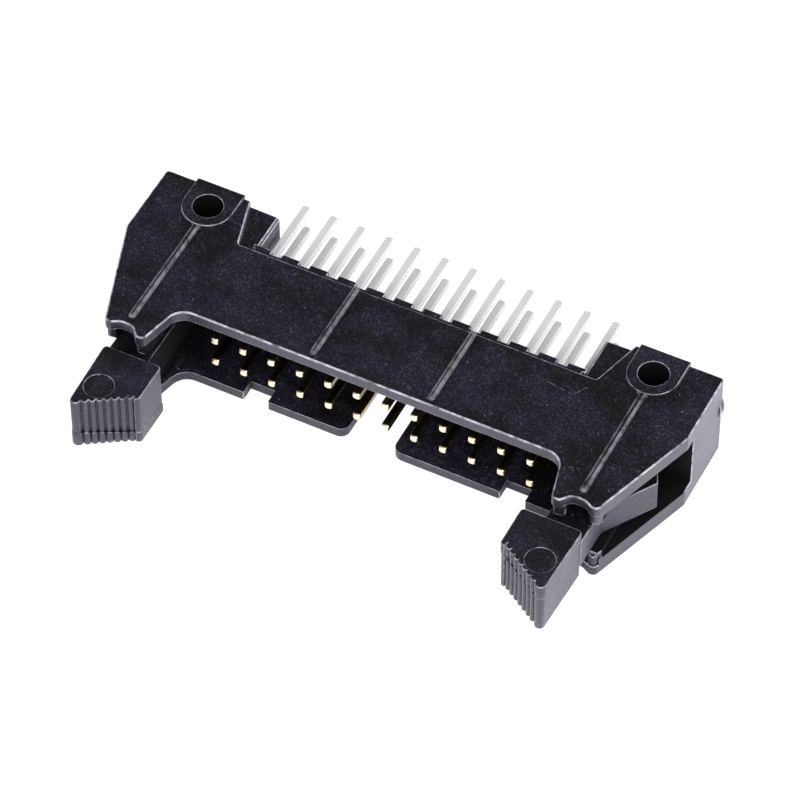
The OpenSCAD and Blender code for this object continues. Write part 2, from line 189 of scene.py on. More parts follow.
# %% [markdown]
# ## Moulded grain
#
# Glass-filled plastic leaves the tool with a fine spark-eroded grain. It is mottled in patches of
# a few millimetres, brown-black here and violet-black there, and pale specks crowd in some of
# them. Short glass fibres and dust show as hairs and flecks. A picture of such a surface would
# need unwrapping and would repeat. Noise on Object coordinates does neither, so one group makes
# all of these, and each material that uses it only says how strong they are.

# %% Build the grain group
CLOUD_SIZE = 3.6 * MM

grain_group, g_in, g_out = new_group(
    "moulded_grain",
    "ShaderNodeTree",
    [
        ("Grain size", FLOAT, 0.14 * MM),
        ("Speckle size", FLOAT, 0.13 * MM),
        ("Fleck spacing", FLOAT, 0.4 * MM),
        ("Fleck share", FLOAT, 0.3),
        ("Hair spacing", FLOAT, 1.6 * MM),
    ],
    [(name, FLOAT) for name in ("Height", "Cloud", "Fleck", "Speckle", "Hair")],
)
coords = object_place(grain_group)
grain = noise(grain_group, coords, g_in.outputs["Grain size"])
join(grain_group, grain, g_out.inputs["Height"])
cloud = noise(grain_group, coords, CLOUD_SIZE, detail=4.0)
join(grain_group, cloud, g_out.inputs["Cloud"])
specks = noise(grain_group, coords, g_in.outputs["Speckle size"], detail=1.5)
specks = window(grain_group, specks, 0.54, 0.70)
crowding = window(grain_group, cloud, 0.38, 0.60, 0.35, 1.0)
join(grain_group, product(grain_group, specks, crowding), g_out.inputs["Speckle"])
print("grain group:", len(grain_group.nodes), "nodes")

# %% [markdown]
# Flecks are small dots in some cells of a Voronoi pattern. The colour that the pattern gives each
# cell decides whether it has a dot and how large the dot is.

# %% Add flecks to the grain
FLECK_REACH = 0.13

cells = add(grain_group, "ShaderNodeTexVoronoi", {"Randomness": 1.0})
join(grain_group, coords, cells.inputs["Vector"])
fleck_scale = math_node(grain_group, "DIVIDE", 1.0, g_in.outputs["Fleck spacing"])
join(grain_group, fleck_scale, cells.inputs["Scale"])
luck = add(grain_group, "ShaderNodeSeparateColor")
join(grain_group, cells.outputs["Color"], luck.inputs["Color"])
chosen = math_node(grain_group, "LESS_THAN", luck.outputs["Red"], g_in.outputs["Fleck share"])
size = product(grain_group, luck.outputs["Green"], FLECK_REACH)
near = math_node(grain_group, "LESS_THAN", cells.outputs["Distance"], size)
join(grain_group, product(grain_group, chosen, near), g_out.inputs["Fleck"])
print("grain group:", len(grain_group.nodes), "nodes")

# %% [markdown]
# Hairs are short stretches of the borders between the cells of a wider pattern, bent by noise.
# Another noise says where a stretch begins and ends.

# %% Add hairs to the grain
BEND_SCALE = 900.0
BEND_REACH = 0.9 * MM
HAIR_THICKNESS = 0.018
STRETCH_SIZE = 0.8 * MM

bend = add(grain_group, "ShaderNodeTexNoise", {"Scale": BEND_SCALE, "Detail": 1.0})
join(grain_group, coords, bend.inputs["Vector"])
pushed = add(grain_group, "ShaderNodeVectorMath", {"Scale": BEND_REACH}, operation="SCALE")
join(grain_group, bend.outputs["Color"], pushed.inputs[0])
bent = vector_math(grain_group, "ADD", coords, pushed.outputs[0]).outputs[0]
borders = add(grain_group, "ShaderNodeTexVoronoi", feature="DISTANCE_TO_EDGE")
join(grain_group, bent, borders.inputs["Vector"])
hair_scale = math_node(grain_group, "DIVIDE", 1.0, g_in.outputs["Hair spacing"])
join(grain_group, hair_scale, borders.inputs["Scale"])
thin = math_node(grain_group, "LESS_THAN", borders.outputs["Distance"], HAIR_THICKNESS)
stretches = noise(grain_group, coords, STRETCH_SIZE, detail=2.0)
stretches = window(grain_group, stretches, 0.56, 0.64)
join(grain_group, product(grain_group, thin, stretches), g_out.inputs["Hair"])
print("grain group:", len(grain_group.nodes), "nodes")

# %% [markdown]
# ## Edge wear and painted highlight
#
# Handling polishes the corners of black plastic and leaves them a little paler, in short
# stretches rather than evenly. The pale edge colour is also a painted highlight: it stands for the
# thin bright line that a rounded edge catches. The Geometry node's Pointiness could find the
# corners, but it depends on how fine the mesh is. So the softened copies made further down store
# an attribute that is one on each rounded edge, and this group breaks that up with noise.

# %% Build the group for edge wear and painted highlight
EDGE = "soft_edge"

# Worn edges with a painted highlight: the mask below pales the rounded edges.
wear_highlight_group, w_in, w_out = new_group(
    "edge_wear_highlight",
    "ShaderNodeTree",
    [("Amount", FLOAT, 1.0), ("Patch size", FLOAT, 0.8 * MM)],
    [("Mask", FLOAT)],
)
edge = add(wear_highlight_group, "ShaderNodeAttribute", attribute_name=EDGE)
patches = noise(wear_highlight_group, object_place(wear_highlight_group), w_in.outputs["Patch size"])
worn_highlit = product(wear_highlight_group, edge.outputs["Fac"], window(wear_highlight_group, patches, 0.3, 0.6))
join(wear_highlight_group, product(wear_highlight_group, worn_highlit, w_in.outputs["Amount"]), w_out.inputs["Mask"])
print("wear group:", len(wear_highlight_group.nodes), "nodes")

# %% [markdown]
# ## Scratches
#
# A scratch is a thin pale line between two points. Cutting it into the mesh would cost many faces
# for a mark thinner than a hair. The group measures how far the surface lies from that line
# instead, so that a scratch stays where it is from every side, and noise breaks it.

# %% Build the scratch group
BREAK_SCALE = 2600.0

scratch_group, s_in, s_out = new_group(
    "scratch",
    "ShaderNodeTree",
    [
        ("Start", VECTOR, None),
        ("End", VECTOR, None),
        ("Width", FLOAT, 0.05 * MM),
        ("Amount", FLOAT, 1.0),
    ],
    [("Mask", FLOAT)],
)
start = s_in.outputs["Start"]
coords = object_place(scratch_group)
along = vector_math(scratch_group, "SUBTRACT", s_in.outputs["End"], start).outputs[0]
reach = vector_math(scratch_group, "SUBTRACT", coords, start).outputs[0]
reach_on_line = vector_math(scratch_group, "DOT_PRODUCT", reach, along).outputs["Value"]
line_squared = vector_math(scratch_group, "DOT_PRODUCT", along, along).outputs["Value"]
share = math_node(scratch_group, "DIVIDE", reach_on_line, line_squared, clamp=True)
foot = add(scratch_group, "ShaderNodeVectorMath", operation="SCALE")
join(scratch_group, along, foot.inputs[0])
join(scratch_group, share, foot.inputs["Scale"])
gap = vector_math(scratch_group, "DISTANCE", reach, foot.outputs[0]).outputs["Value"]
outside = math_node(scratch_group, "DIVIDE", gap, s_in.outputs["Width"], clamp=True)
line = math_node(scratch_group, "SUBTRACT", 1.0, outside)
breaks = add(scratch_group, "ShaderNodeTexNoise", {"Scale": BREAK_SCALE, "Detail": 2.0})
join(scratch_group, coords, breaks.inputs["Vector"])
broken = window(scratch_group, breaks.outputs["Fac"], 0.42, 0.6)
mark = product(scratch_group, product(scratch_group, line, broken), s_in.outputs["Amount"])
join(scratch_group, mark, s_out.inputs["Mask"])
print("scratch group:", len(scratch_group.nodes), "nodes")

# %% [markdown]
# ## Upright faces, with a painted reflection
#
# Upright faces get a paler grey: a painted reflection of the white floor that they face, on top of
# what their gloss really mirrors. They could have a material of their own, but the change would be
# sudden at each rounded edge. The group follows the normal instead: it is one on faces that stand
# upright and zero on level ones. A height limit keeps it off the low raised ribs and bosses.

# %% Build the group for the painted reflection on upright faces
# Painted reflection: the mask below puts a paler grey on upright faces.
upright_painted_group, u_in, u_out = new_group(
    "upright_painted_face",
    "ShaderNodeTree",
    [("Middle height", FLOAT, 4.6 * MM), ("Half height", FLOAT, 1.0)],
    [("Mask", FLOAT)],
)
source = add(upright_painted_group, "ShaderNodeTexCoord")
facing = split(upright_painted_group, source.outputs["Normal"])
place = split(upright_painted_group, source.outputs["Object"])
tilt = math_node(upright_painted_group, "ABSOLUTE", facing["Z"])
standing = window(upright_painted_group, tilt, 0.25, 0.8, 1.0, 0.0)
rise = math_node(upright_painted_group, "SUBTRACT", place["Z"], u_in.outputs["Middle height"])
rise = math_node(upright_painted_group, "ABSOLUTE", rise)
within = math_node(upright_painted_group, "LESS_THAN", rise, u_in.outputs["Half height"])
join(upright_painted_group, product(upright_painted_group, standing, within), u_out.inputs["Mask"])
print("upright group:", len(upright_painted_group.nodes), "nodes")

# %% [markdown]
# ## Crevices, with painted shade
#
# Grooves, inner corners and faces close above the floor get painted shade: their colour is pulled
# towards the darkest black. The Ambient Occlusion node tells how much of its surroundings each
# place sees, and the group is one where that is little.

# %% Build the group for painted shade in crevices
# Painted shade: the mask below darkens places that see little of their surroundings.
crevice_shade_group, v_in, v_out = new_group(
    "crevice_shade",
    "ShaderNodeTree",
    [("Reach", FLOAT, 2.2 * MM)],
    [("Mask", FLOAT)],
)
openness = add(crevice_shade_group, "ShaderNodeAmbientOcclusion", samples=4)
join(crevice_shade_group, v_in.outputs["Reach"], openness.inputs["Distance"])
shut = window(crevice_shade_group, openness.outputs["AO"], 0.50, 0.97, 1.0, 0.0)
join(crevice_shade_group, shut, v_out.inputs["Mask"])
print("crevice group:", len(crevice_shade_group.nodes), "nodes")


# %% [markdown]
# ## Black moulding
#
# The housing and the levers are the same kind of plastic from different tools. It is nearly
# black, because most of what shows on it is its satin gloss: level faces mirror the dark room
# and stay black, and upright faces mirror the white floor. Two helpers place a group in a
# material and lay one colour over another.

# %% Helpers for materials
def place_group(tree, group, values=None):
    """Places a shader group in a material and sets its values."""
    made = tree.nodes.new("ShaderNodeGroup")
    made.node_tree = group
    for key, value in (values or {}).items():
        made.inputs[key].default_value = value
    return made


def blend_colour(tree, factor, base, over):
    """Mixes colour over base by factor. Each colour is a socket or a plain colour."""
    made = add(tree, "ShaderNodeMix", data_type="RGBA")
    join(tree, factor, made.inputs["Factor"])
    for index, value in ((6, base), (7, over)):
        if isinstance(value, tuple):
            made.inputs[index].default_value = value
        else:
            join(tree, value, made.inputs[index])
    return made.outputs[2]


# %% [markdown]
# The base colour is built up in layers: mottled black, a painted reflection on upright faces,
# painted shade in crevices, specks, hairs, flecks and, last, the worn edges, which also carry a
# painted highlight. Each layer is one of the groups above with its own colour and share.

# %% Layer the colour of a moulding
SPECKLE = (0.100, 0.094, 0.125, 1.0)
SPECKLE_SHARE = 0.80
HAIR = (0.16, 0.16, 0.19, 1.0)
HAIR_SHARE = 0.22
FLECK = (0.45, 0.45, 0.48, 1.0)
FLECK_SHARE = 0.7
# Pale edges: partly wear, partly a painted highlight.
WORN_HIGHLIGHT = (0.60, 0.59, 0.66, 1.0)
WORN_HIGHLIGHT_SHARE = 0.95
# How much painted shade the crevices get.
CREVICE_SHARE = 0.95


def moulding_colour(tree, grain, dark, cloudy, upright_painted, half_height, dust):
    """A moulding's own colours and dust, with a painted reflection, shade and edge highlight."""
    wear_highlight = place_group(tree, wear_highlight_group)
    stood = place_group(tree, upright_painted_group, {"Half height": half_height})
    deep = place_group(tree, crevice_shade_group)
    mottling = window(tree, grain.outputs["Cloud"], 0.40, 0.60)
    colour = blend_colour(tree, mottling, dark, cloudy)
    grain_breakup = window(tree, grain.outputs["Height"], 0.36, 0.60, 0.60, 1.05)
    # Painted reflection of the floor on upright faces, broken up by the grain.
    colour = blend_colour(tree, product(tree, stood.outputs["Mask"], grain_breakup), colour, upright_painted)
    for mask, share, over in (
        # Painted shade in crevices and close above the floor.
        (deep.outputs["Mask"], CREVICE_SHARE, dark),
        (grain.outputs["Speckle"], SPECKLE_SHARE * dust, SPECKLE),
        (grain.outputs["Hair"], HAIR_SHARE * dust, HAIR),
        (grain.outputs["Fleck"], FLECK_SHARE * dust, FLECK),
        # Worn edges, which also carry a painted highlight.
        (wear_highlight.outputs["Mask"], WORN_HIGHLIGHT_SHARE, WORN_HIGHLIGHT),
    ):
        colour = blend_colour(tree, product(tree, mask, share), colour, over)
    return colour


# %% [markdown]
# The recipe lays the scratches over that colour and adds the gloss, which changes a little with
# the mottling, and the grain as a bump. What is the same all over, such as the index of
# refraction and the sheen, is set on the shader itself.

# %% Write the moulding recipe
SCRATCH = (0.26, 0.26, 0.29, 1.0)
GLOSSIER = 0.07
DULLER = 0.05
GRAIN_STRENGTH = 0.5
GRAIN_DEPTH = 0.02 * MM
SHEEN_ROUGHNESS = 0.3
SHEEN_TINT = (0.75, 0.68, 1.0, 1.0)
GLOSS_TINT = (0.92, 0.90, 1.0, 1.0)


def moulding(
    name, dark, cloudy, upright_painted, roughness,
    scratches=(), half_height=1.0, dust=1.0, ior=1.50, sheen=0.24,
):
    """A satin black plastic with grain, flecks, scratches, worn edges and painted light and shade."""
    material = bpy.data.materials.new(name)
    material.use_nodes = True
    tree = material.node_tree
    shader = tree.nodes["Principled BSDF"]
    grain = place_group(tree, grain_group)
    colour = moulding_colour(tree, grain, dark, cloudy, upright_painted, half_height, dust)
    for start, end, width, amount in scratches:
        values = {"Start": start, "End": end, "Width": width, "Amount": amount}
        mark = place_group(tree, scratch_group, values)
        colour = blend_colour(tree, mark.outputs["Mask"], colour, SCRATCH)
    join(tree, colour, shader.inputs["Base Color"])
    gloss = (roughness - GLOSSIER, roughness + DULLER)
    join(tree, window(tree, grain.outputs["Cloud"], 0.3, 0.7, *gloss), shader.inputs["Roughness"])
    bump = add(tree, "ShaderNodeBump", {"Strength": GRAIN_STRENGTH, "Distance": GRAIN_DEPTH})
    join(tree, grain.outputs["Height"], bump.inputs["Height"])
    join(tree, bump.outputs["Normal"], shader.inputs["Normal"])
    shader.inputs["IOR"].default_value = ior
    shader.inputs["Sheen Weight"].default_value = sheen
    shader.inputs["Sheen Roughness"].default_value = SHEEN_ROUGHNESS
    shader.inputs["Sheen Tint"].default_value = SHEEN_TINT
    shader.inputs["Specular Tint"].default_value = GLOSS_TINT
    return material


# %% [markdown]
# The upper face carries a few scratches, each a row of points in millimetres that was read from
# the photograph.

# %% List the scratches on the housing
TOP_FACE_Z = 8.75 * MM


def top_marks(points, width, amount):
    """A row of scratches through points (x, y) in mm on the upper broad face."""
    places = [(x * MM, y * MM, TOP_FACE_Z) for x, y in points]
    return [(a, b, width * MM, amount) for a, b in zip(places, places[1:])]


HOUSING_SCRATCHES = (
    top_marks([(12.59, 3.73), (14.91, 3.36), (15.65, 4.60)], 0.055, 0.75)
    + top_marks([(17.53, -3.73), (17.60, -3.25), (18.00, -3.44)], 0.05, 0.6)
    + top_marks([(18.21, -3.62), (18.29, -3.16), (18.68, -3.27)], 0.05, 0.6)
    + top_marks([(21.18, -4.13), (21.66, -4.16)], 0.05, 0.6)
    + top_marks([(14.72, -2.62), (15.13, -1.85)], 0.05, 0.4)
    + top_marks([(-3.08, 0.84), (-2.28, 0.66)], 0.05, 0.5)
)
print("scratches:", len(HOUSING_SCRATCHES))

# %% [markdown]
# Three finishes follow from the recipe. The housing alone has the scratches. The insides of the
# box, the tower pockets and the holes get the third, which is painted shade: it has no specks,
# hairs or flecks, is duller and blacker, and its upright faces stay dark.

# %% Make the moulding materials
HOUSING_DARK = (0.0026, 0.0023, 0.0026, 1.0)
HOUSING_CLOUD = (0.0064, 0.0062, 0.0175, 1.0)
LATCH_DARK = (0.0036, 0.0032, 0.0038, 1.0)
LATCH_CLOUD = (0.0092, 0.0088, 0.0185, 1.0)
# The upright colour of the housing and the levers is a painted reflection of the white floor.
UPRIGHT_REFLECTION = (0.044, 0.0415, 0.0605, 1.0)
# The recess moulding's upright colour is painted shade.
RECESS_SHADE = (0.006, 0.0055, 0.0075, 1.0)
BETWEEN_SKINS = 4.15 * MM

housing_plastic = moulding(
    "housing_moulding", HOUSING_DARK, HOUSING_CLOUD, UPRIGHT_REFLECTION, 0.37,
    scratches=HOUSING_SCRATCHES, half_height=BETWEEN_SKINS,
)
latch_plastic = moulding("latch_moulding", LATCH_DARK, LATCH_CLOUD, UPRIGHT_REFLECTION, 0.40)
# Painted shade: the moulding for the faces deep inside is duller and blacker.
recess_shade_plastic = moulding(
    "recess_shade_moulding", HOUSING_DARK, HOUSING_DARK, RECESS_SHADE, 0.75,
    dust=0.0, ior=1.25, sheen=0.0,
)
print("mouldings:", housing_plastic.name, latch_plastic.name, recess_shade_plastic.name)

# %% [markdown]
# ## Softened mouldings
#
# A moulded edge is never sharp: a small radius runs round every corner, and it is what catches
# the light as a thin bright line. The measured solids have sharp edges. A Bevel shader node
# would only bend the shading, so each moulding is copied, its loose triangles are merged into
# whole faces, and each outer edge gets a weight for the Bevel modifier. The weight is the radius
# that the real edge shows, cut down where a face beside it is too narrow, so that no two bevels
# meet.

# %% Weigh the sharp edges of a moulding
MERGE = 0.5e-6
FLAT = math.radians(0.3)
SHARP = math.radians(26.0)
PARALLEL = 0.9
WIDEST = 0.26 * MM
OWN_FACE_SHARE = 0.92
SHARED_FACE_SHARE = 0.42


def depth_beside(edge, face):
    """How far a face reaches away from one of its edges."""
    start = edge.verts[0].co
    along = (edge.verts[1].co - start).normalized()
    reach = 0.0
    for vert in face.verts:
        offset = vert.co - start
        reach = max(reach, (offset - along * offset.dot(along)).length)
    return reach


def is_outer(edge):
    """Whether an edge is sharp and stands out."""
    return len(edge.link_faces) == 2 and edge.is_convex and edge.calc_face_angle() >= SHARP


def room_beside(edge, face):
    """How large a radius a face leaves an edge. Two outer edges that face each other share it."""
    along = (edge.verts[1].co - edge.verts[0].co).normalized()
    for other in face.edges:
        line = other.verts[1].co - other.verts[0].co
        if other is not edge and is_outer(other) and abs(line.normalized().dot(along)) > PARALLEL:
            return SHARED_FACE_SHARE * depth_beside(edge, face)
    return OWN_FACE_SHARE * depth_beside(edge, face)


def weigh_edges(bm, radius_of):
    """Writes each sharp outer edge's bevel weight. Returns how many edges got one."""
    layer = bm.edges.layers.float.new("bevel_weight_edge")
    count = 0
    for edge in bm.edges:
        if not is_outer(edge):
            continue
        radius = min(radius_of(edge), *(room_beside(edge, face) for face in edge.link_faces))
        edge[layer] = min(1.0, radius / WIDEST)
        count += 1
    return count


# %% [markdown]
# A CAD node's mesh is left alone. The copy of it has whole faces, no normals of its own, and the
# outer material in both of its slots.

# %% Copy a node and merge its faces
OWN_SHADING = ("custom_normal", "sharp_face", "sharp_edge")


def merged_copy(node, name, radius_of, material):
    """A mesh of a CAD node with whole faces and weighed edges."""
    bm = bmesh.new()
    bm.from_mesh(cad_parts[node].data)
    bmesh.ops.remove_doubles(bm, verts=bm.verts[:], dist=MERGE)
    bmesh.ops.dissolve_limit(bm, angle_limit=FLAT, verts=bm.verts[:], edges=bm.edges[:])
    weighed = weigh_edges(bm, radius_of)
    plain = bpy.data.meshes.new(name + "_plain")
    bm.to_mesh(plain)
    bm.free()
    for key in OWN_SHADING:
        if key in plain.attributes:
            plain.attributes.remove(plain.attributes[key])
    plain.materials.clear()
    plain.materials.append(material)
    plain.materials.append(material)
    print(node, "has", weighed, "outer edges to round")
    return plain


# %% [markdown]
# The Bevel modifier rounds each edge by its weight and puts the new faces in the second material
# slot. That slot is read once, to store the attribute that the group for worn and highlit edges
# needs. Then it goes to the faces that lie deep inside, for the painted shade of the recess finish.

# %% Round the edges of the mouldings
EDGE_SEGMENTS = 3
SMOOTH_BELOW = math.radians(40.0)
EVEN_WEIGHT = 100


def bevelled(piece, name):
    """The mesh that the Bevel modifier makes of a piece, with its new faces in slot 1."""
    bevel = piece.modifiers.new("round_edges", "BEVEL")
    bevel.limit_method = "WEIGHT"
    bevel.width = WIDEST
    bevel.segments = EDGE_SEGMENTS
    bevel.use_clamp_overlap = False
    bevel.material = 1
    evaluated = piece.evaluated_get(bpy.context.evaluated_depsgraph_get())
    mesh = bpy.data.meshes.new_from_object(evaluated)
    mesh.name = name
    piece.modifiers.clear()
    return mesh


def finish_faces(mesh, wear_highlight_of, in_recess):
    """Stores how worn and highlit each face is and gives the ones deep inside painted recess shade.
    """
    mark = mesh.attributes.new(EDGE, "FLOAT", "FACE")
    for polygon in mesh.polygons:
        hidden = in_recess(polygon.center, polygon.normal)
        rounded = polygon.material_index
        mark.data[polygon.index].value = 0.0 if hidden else rounded * wear_highlight_of(polygon.center)
        polygon.material_index = int(hidden)
        polygon.use_smooth = True
    mesh.materials[1] = recess_shade_plastic


def softened(node, radius_of, wear_highlight_of, in_recess, material):
    """A merged copy of a CAD node with rounded edges, standing for that node."""
    name = node + "_soft"
    plain = merged_copy(node, name, radius_of, material)
    piece = bpy.data.objects.new(name, plain)
    scene.collection.objects.link(piece)
    piece.data = bevelled(piece, name)
    bpy.data.meshes.remove(plain)
    finish_faces(piece.data, wear_highlight_of, in_recess)
    piece.data.set_sharp_from_angle(angle=SMOOTH_BELOW)
    weigh = piece.modifiers.new("even_normals", "WEIGHTED_NORMAL")
    weigh.keep_sharp = True
    weigh.weight = EVEN_WEIGHT
    print(name, "has", len(piece.data.polygons), "faces")
    return piece


# %% [markdown]
# On the housing the outline of the two broad faces has a larger radius than the steps inside it,
# and the raised ribs are almost half round. The rims of the bosses are crisper. The levers have
# one radius all over.

# %% Give each edge its radius
SKIN_HIGH = 8.75 * MM
SKIN_LOW = 0.45 * MM
RIB_TOP = 0.28 * MM
BOSS_TOP = 0.45 * MM
SAME_HEIGHT = 0.02 * MM
TINY = 0.01 * MM
RIB_RADIUS = 0.26 * MM
OUTLINE_RADIUS = 0.12 * MM
SMALL_RADIUS = 0.08 * MM
BOSS_RADIUS = 0.07 * MM


def above_skin(place):
    """How far a place stands out from the nearer broad face."""
    return max(place.z - SKIN_HIGH, SKIN_LOW - place.z)


def housing_radius(edge):
    """The radius of one outer edge of the housing, from where it lies."""
    low, high = (vert.co for vert in edge.verts)
    above = above_skin((low + high) / 2)
    if abs(low.z - high.z) < TINY:
        for height, radius in ((RIB_TOP, RIB_RADIUS), (BOSS_TOP, BOSS_RADIUS), (0.0, OUTLINE_RADIUS)):
            if abs(above - height) < SAME_HEIGHT:
                return radius
    return SMALL_RADIUS


def latch_radius(edge):
    """The radius of the outer edges of a lever."""
    return SMALL_RADIUS


# %% [markdown]
# The outlines are palest in the photograph, and the raised ribs keep most of their black. One
# number for each kind of edge says how much wear and painted highlight it gets.

# %% Give each edge its wear and painted highlight
RIB_WEAR_HIGHLIGHT = 0.35
BOSS_WEAR_HIGHLIGHT = 0.6
LATCH_WEAR_HIGHLIGHT = 0.6


def housing_wear_highlight(place):
    """How worn and highlit a rounded edge of the housing is, from where it lies."""
    above = above_skin(place)
    if TINY < above < RIB_TOP + SAME_HEIGHT:
        return RIB_WEAR_HIGHLIGHT
    return BOSS_WEAR_HIGHLIGHT if above > RIB_TOP else 1.0


def latch_wear_highlight(place):
    """The levers are worn and highlit alike all over."""
    return LATCH_WEAR_HIGHLIGHT


# %% [markdown]
# Which faces lie deep inside and get painted shade follows from a few measures of the housing:
# the holes, the box between its walls and the pockets of the towers. On a lever it is the hidden
# side of the arm.

# %% Find the faces deep inside, which get painted shade
HOLE_X = 19.82 * MM
HOLE_Y = 7.825 * MM
HOLE_REACH = 1.35 * MM
MIDDLE_Z = 4.6 * MM
BOX_HALF_HEIGHT = 3.13 * MM
TOWER_SIDE_X = 24.6 * MM
BOX_BACK_Y = 6.0 * MM
MOUTH_Y = -4.4 * MM
ARM_Y = -6.6 * MM


def faces_inward(place, normal, share):
    """Whether a face looks towards the middle of the header along its length."""
    return normal.x * place.x < -share * abs(place.x)


# Faces found here get the painted shade of the recess moulding.
def housing_recess(place, normal):
    """Whether a face of the housing lies deep inside: the box, the tower pockets or a hole."""
    from_hole = math.hypot(abs(place.x) - HOLE_X, place.y - HOLE_Y)
    if from_hole < HOLE_REACH and abs(normal.z) < 0.3:
        return True
    if abs(place.z - MIDDLE_Z) > BOX_HALF_HEIGHT:
        return False
    if abs(place.x) > TOWER_SIDE_X or place.y > BOX_BACK_Y:
        return False
    return place.y > MOUTH_Y or faces_inward(place, normal, 0.6)


# A lever's faces found here get the same painted shade.
def latch_recess(place, normal):
    """Whether a face of a lever is the hidden inner side of its arm."""
    return place.y > ARM_Y and faces_inward(place, normal, 0.5)


# %% [markdown]
# With a radius, a wear and a recess for each kind of moulding, the three copies can be made.

# %% Make the three mouldings
housing = softened("housing", housing_radius, housing_wear_highlight, housing_recess, housing_plastic)
latch_left, latch_right = (
    softened(node, latch_radius, latch_wear_highlight, latch_recess, latch_plastic)
    for node in ("latch_left", "latch_right")
)

# %% [markdown]
# ## Contact plating
#
# Each contact is one drawn brass wire. Its mating end is flashed with gold, and the solder tail
# is tinned. Two materials would need a seam in the mesh. One that follows the place along the
# wire does not, and the change lies hidden inside the housing's floor. Drawing leaves fine lines
# along the wire, the cut tips are matt, and the tin turns a darker grey towards the ends.

# %% Colour the plating
PLATING_CHANGE_Y = 4.8 * MM
DRAWN_SCALE = 5200.0
DRAWN_STRETCH = (1.0, 0.04, 1.0)
GOLD = (0.98, 0.84, 0.56, 1)
PALE_GOLD = (1.0, 0.88, 0.62, 1)
TIN = (0.90, 0.89, 0.89, 1)
PALE_TIN = (0.98, 0.97, 0.97, 1)
# The tin is blended to a darker grey towards the ends.
END_TIN_GREY = (0.56, 0.56, 0.55, 1)
END_GREY_FROM_Y = 7.0 * MM
END_GREY_TO_Y = 13.9 * MM
END_GREY_SHARE = 0.22

plating = bpy.data.materials.new("contact_plating")
plating.use_nodes = True
tree = plating.node_tree
shader = tree.nodes["Principled BSDF"]
coords = object_place(tree)
along_wire = split(tree, coords)["Y"]
tinned = math_node(tree, "GREATER_THAN", along_wire, PLATING_CHANGE_Y)
stretch = add(tree, "ShaderNodeMapping", {"Scale": DRAWN_STRETCH})
join(tree, coords, stretch.inputs["Vector"])
drawn = add(tree, "ShaderNodeTexNoise", {"Scale": DRAWN_SCALE, "Detail": 2.0})
join(tree, stretch.outputs[0], drawn.inputs["Vector"])
drawn = drawn.outputs["Fac"]
gold = blend_colour(tree, drawn, GOLD, PALE_GOLD)
tin = blend_colour(tree, drawn, TIN, PALE_TIN)
toward_end = window(tree, along_wire, END_GREY_FROM_Y, END_GREY_TO_Y, 0.0, END_GREY_SHARE)
tin = blend_colour(tree, toward_end, tin, END_TIN_GREY)
join(tree, blend_colour(tree, tinned, gold, tin), shader.inputs["Base Color"])
print("plating changes at y", PLATING_CHANGE_Y / MM, "mm")

# %% [markdown]
# Gold is a plain bright metal. Matt tin scatters most of its light, so it is set less metallic
# and rougher, and the cut tips are rougher too.

# %% Give the plating its gloss
TIN_SCATTER = 0.8
TIN_ROUGHER = 0.20
TIP_ROUGHER = 0.22
TIP_MATT_Y = -2.0 * MM
TIP_FADE = 0.2 * MM

metallic = math_node(tree, "SUBTRACT", 1.0, product(tree, tinned, TIN_SCATTER))
join(tree, metallic, shader.inputs["Metallic"])
streaked = window(tree, drawn, 0.3, 0.7, 0.09, 0.14)
duller = product(tree, tinned, TIN_ROUGHER)
matt_tip = window(tree, along_wire, TIP_MATT_Y - TIP_FADE, TIP_MATT_Y, TIP_ROUGHER, 0.0)
blunt = math_node(tree, "ADD", duller, matt_tip)
join(tree, math_node(tree, "ADD", streaked, blunt), shader.inputs["Roughness"])
bump = add(tree, "ShaderNodeBump", {"Strength": 0.02, "Distance": 0.004 * MM})
join(tree, drawn, bump.inputs["Height"])
join(tree, bump.outputs["Normal"], shader.inputs["Normal"])
print("plating:", len(tree.nodes), "nodes")

# %% [markdown]
# ## Contacts
#
# Twenty-four equal contacts on a grid could be copied in a loop, but Geometry Nodes keep the
# columns, rows and pitch as named inputs. Mesh code makes one contact, a square wire with rounded
# corners and a small dome at each end, and the tree sets it on the grid. Its sizes are read from
# the boxes of the measured contacts.

# %% Measure the contacts
first_low, first_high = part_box("pin_01")
third_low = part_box("pin_03")[0]
second_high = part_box("pin_02")[1]
wire = first_high.x - first_low.x
pitch = third_low.x - first_low.x
tip_y = first_low.y
tail_y = first_high.y
print("wire", round(wire / MM, 2), "mm, pitch", round(pitch / MM, 2), "mm")

# %% [markdown]
# The dome is a stack of rings. From the tip backwards they grow by the sine of a turn of 90
# degrees, while their corners go from nearly round to the small radius of the wire.

# %% Model one contact
POINT_LENGTH = 0.22 * MM
TIP_SHARE = 0.52
CORNER_SHARE = 0.09
TIP_CORNER_SHARE = 0.48
CORNER_STEPS = 3
DOME_STEPS = 4
CONTACT_SHARP = math.radians(35.0)


def square_ring(bm, y, side, corner_share):
    """A ring of a rounded square of that side, across the wire at y."""
    half = side / 2
    radius = side * corner_share
    ring = []
    for quarter in range(4):
        mid = math.radians(90 * quarter + 45)
        centre_x = math.copysign(half - radius, math.cos(mid))
        centre_z = math.copysign(half - radius, math.sin(mid))
        for step in range(CORNER_STEPS + 1):
            angle = math.radians(90 * quarter + 90 * step / CORNER_STEPS)
            x = centre_x + radius * math.cos(angle)
            z = centre_z + radius * math.sin(angle)
            ring.append(bm.verts.new((x, y, z)))
    return ring


def dome_rings():
    """How far back, how wide and how round each ring of a dome is, from its tip."""
    for step in range(DOME_STEPS + 1):
        turn = math.radians(90 / DOME_STEPS * step)
        side = wire * (TIP_SHARE + (1 - TIP_SHARE) * math.sin(turn))
        back = POINT_LENGTH * (1 - math.cos(turn))
        yield back, side, TIP_CORNER_SHARE + (CORNER_SHARE - TIP_CORNER_SHARE) * step / DOME_STEPS


